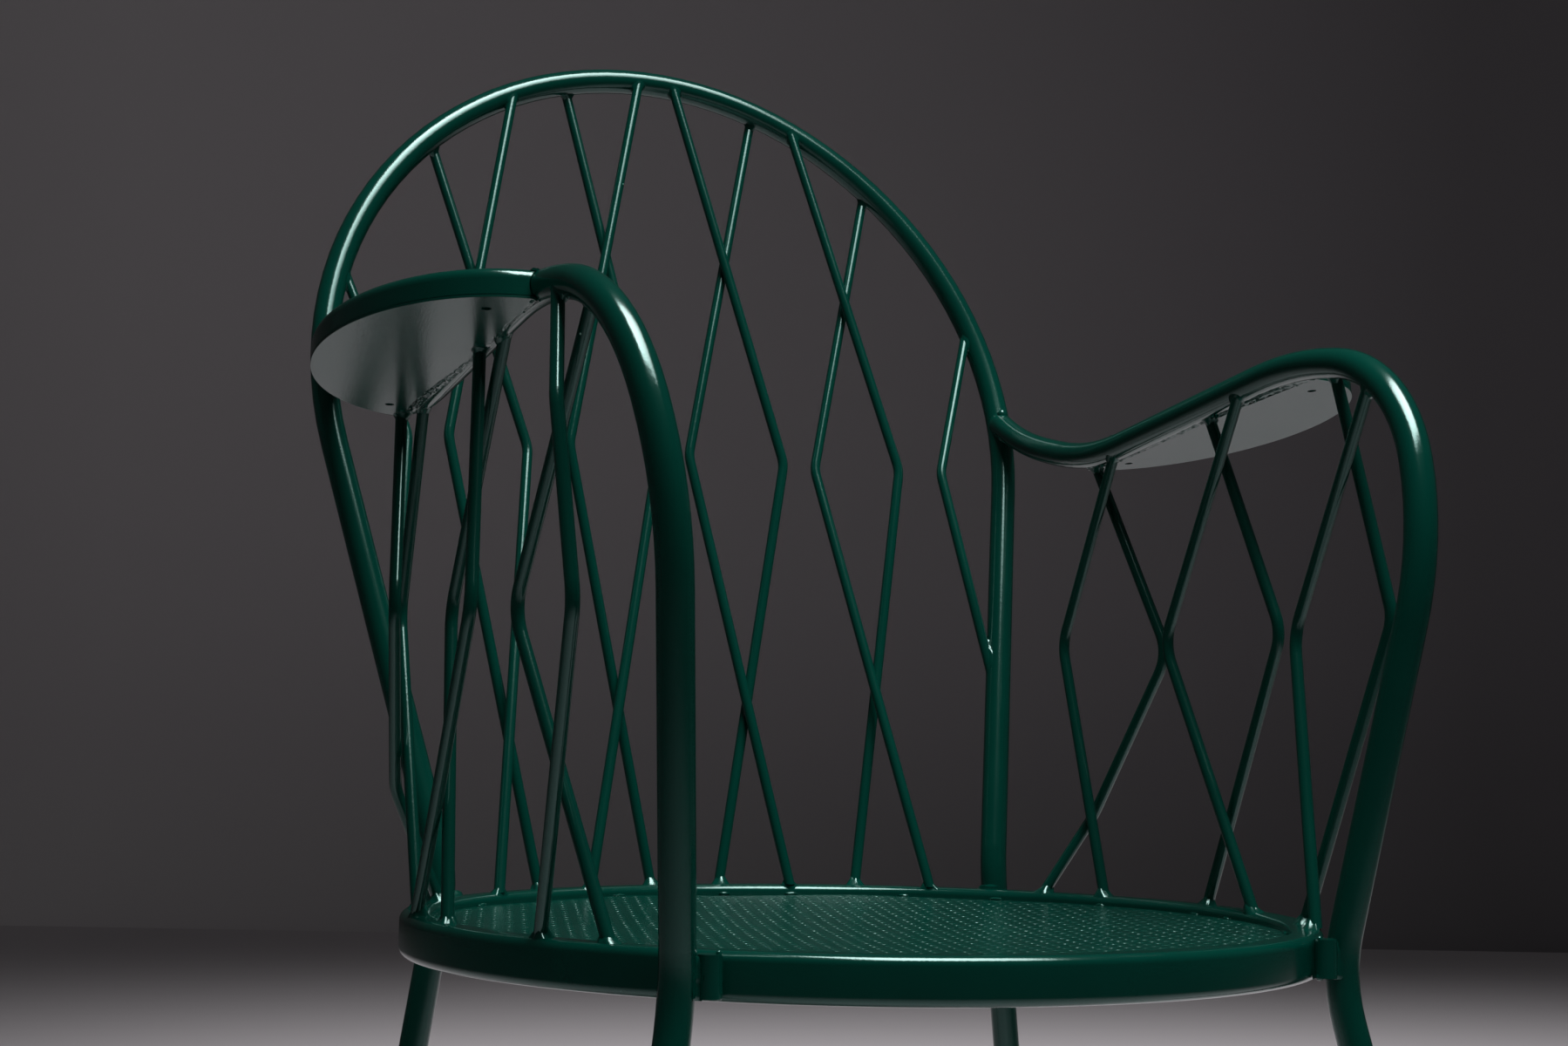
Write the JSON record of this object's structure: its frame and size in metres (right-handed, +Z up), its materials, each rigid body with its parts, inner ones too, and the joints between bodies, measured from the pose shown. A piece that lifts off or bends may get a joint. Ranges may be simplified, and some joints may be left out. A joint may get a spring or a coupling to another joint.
{
  "type": "garden armchair",
  "caption": "Welded metal garden armchair with a tube hoop back, tube arms with oval rests, crossed bent rods, and a round perforated seat on splayed legs.",
  "frame": {"origin": "on the floor, in the middle of the chair's footprint", "axes": "+Z up, the chair faces -Y, +X is the sitter's left"},
  "size_m": [0.5412, 0.5712, 0.9392],
  "materials": {
    "enamel": "gloss",
    "glide": "satin"
  },
  "bodies": {
    "root": {"arm_rod_1_left": "enamel", "arm_rod_1_right": "enamel", "arm_rod_2_left": "enamel", "arm_rod_2_right": "enamel", "arm_rod_3_left": "enamel", "arm_rod_3_right": "enamel", "arm_rod_4_left": "enamel", "arm_rod_4_right": "enamel", "arm_rod_5_left": "enamel", "arm_rod_5_right": "enamel", "arm_rod_6_left": "enamel", "arm_rod_6_right": "enamel", "arm_tube_left": "enamel", "arm_tube_right": "enamel", "armrest_plate_left": "enamel", "armrest_plate_right": "enamel", "armrest_shell_left": "enamel", "armrest_shell_right": "enamel", "back_hoop": "enamel", "back_rod_1_left": "enamel", "back_rod_1_right": "enamel", "back_rod_2_left": "enamel", "back_rod_2_right": "enamel", "back_rod_3_left": "enamel", "back_rod_3_right": "enamel", "back_rod_4_left": "enamel", "back_rod_4_right": "enamel", "back_rod_5_left": "enamel", "back_rod_5_right": "enamel", "glide_front_left": "glide", "glide_front_right": "glide", "glide_rear_left": "glide", "glide_rear_right": "glide", "leg_spacer_left": "enamel", "leg_spacer_right": "enamel", "seat_ring": "enamel", "seat_sheet": "enamel"}
  },
  "joints": []
}
